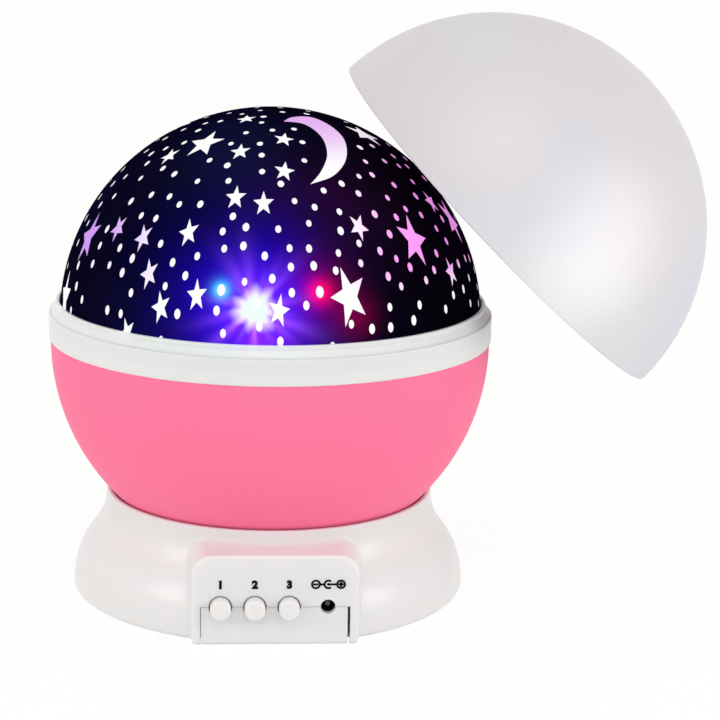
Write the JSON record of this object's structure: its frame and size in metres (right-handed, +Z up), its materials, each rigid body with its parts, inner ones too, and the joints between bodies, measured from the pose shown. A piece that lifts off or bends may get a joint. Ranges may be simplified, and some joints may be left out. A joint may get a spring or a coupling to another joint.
{
  "type": "star night light projector",
  "caption": "Star projector night light with a turning domed bowl on a flared base, front buttons, a power socket and a lift-off diffuser cover.",
  "frame": {"origin": "on the floor plane, at the foot of the axis that the bowl turns on", "axes": "+Z up along the turning axis, -Y towards the front panel, +X to the right seen from the front"},
  "size_m": [0.1898, 0.146, 0.1624],
  "materials": {
    "milky_plastic": "satin milky translucent plastic",
    "clear_plastic": "clear polished plastic",
    "star_mask_film": "black printed skin over the clear dome",
    "white_plastic": "glossy white plastic",
    "pink_plastic": "smooth pink plastic",
    "black_plastic": "moulded black plastic",
    "pad_foam": "non-slip foam",
    "switch_metal": "tinned cover",
    "brass": "plated",
    "board": "green lacquer",
    "screw_steel": "nickel plated",
    "cell_jacket": "printed foil jacket",
    "contact_nickel": "nickel plated",
    "motor_can": "plated can",
    "gear_plastic": "acetal",
    "led_white": "clear lens",
    "led_red": "tinted lens",
    "led_green": "tinted lens",
    "led_blue": "tinted lens",
    "lead_jacket": "soft insulation"
  },
  "bodies": {
    "base": {"base_shell": "white_plastic", "base_bottom": "white_plastic", "foot_pads": "pad_foam", "base_screws": "screw_steel", "battery_cells": "cell_jacket", "front_contacts": "contact_nickel", "rear_contacts": "contact_nickel", "contact_springs": "contact_nickel", "control_board": "board", "board_screws": "screw_steel", "switch_bodies": "switch_metal", "power_socket": "black_plastic", "socket_pin": "brass", "gear_motor": "motor_can", "motor_screws": "screw_steel", "lamp_post": "black_plastic", "post_screws": "screw_steel", "thrust_washer": "gear_plastic", "retaining_clip": "screw_steel", "led_board": "board", "led_screws": "screw_steel", "white_led": "led_white", "red_led": "led_red", "green_led": "led_green", "blue_led": "led_blue", "led_leads": "lead_jacket", "motor_leads": "lead_jacket", "battery_leads": "lead_jacket"},
    "rotor": {"bowl_shell": "pink_plastic", "body_ring": "white_plastic", "dome_collar": "white_plastic", "star_dome": "clear_plastic", "star_mask": "star_mask_film", "ring_gear": "gear_plastic", "gear_screws": "screw_steel", "ring_screws": "screw_steel"},
    "drive": {"motor_shaft": "screw_steel", "drive_pinion": "gear_plastic"},
    "door": {"battery_door": "white_plastic", "door_screw": "screw_steel"},
    "cover": {"night_cover": "milky_plastic"},
    "left_push": {"left_button": "white_plastic", "left_plunger": "black_plastic"},
    "middle_push": {"middle_button": "white_plastic", "middle_plunger": "black_plastic"},
    "right_push": {"right_button": "white_plastic", "right_plunger": "black_plastic"}
  },
  "joints": [
    {"name": "dome_spin", "type": "hinge", "parent": "base", "child": "rotor", "pos_m": [0, 0, 0.03], "axis": [0, 0, 1], "continuous": true},
    {"name": "drive_spin", "type": "hinge", "parent": "base", "child": "drive", "pos_m": [0.033, 0, 0.02], "axis": [0, 0, 1], "continuous": true},
    {"name": "door_hinge", "type": "hinge", "parent": "base", "child": "door", "pos_m": [-0.02238, 0.0241, 0.00085], "axis": [1, 0, 0], "range_deg": [0, 90]},
    {"name": "cover_lift", "type": "slide", "parent": "base", "child": "cover", "axis": [0.7004, -0.065, 0.7108], "range_m": [0, 0.08]},
    {"name": "left_button_press", "type": "slide", "parent": "base", "child": "left_push", "axis": [0, 1, 0], "range_m": [0, 0.0008], "stiffness_N_per_m": 400},
    {"name": "middle_button_press", "type": "slide", "parent": "base", "child": "middle_push", "axis": [0, 1, 0], "range_m": [0, 0.0008], "stiffness_N_per_m": 400},
    {"name": "right_button_press", "type": "slide", "parent": "base", "child": "right_push", "axis": [0, 1, 0], "range_m": [0, 0.0008], "stiffness_N_per_m": 400}
  ],
  "couplings": [
    {"joint": "drive_spin", "follows": "dome_spin", "ratio": -4.5}
  ]
}
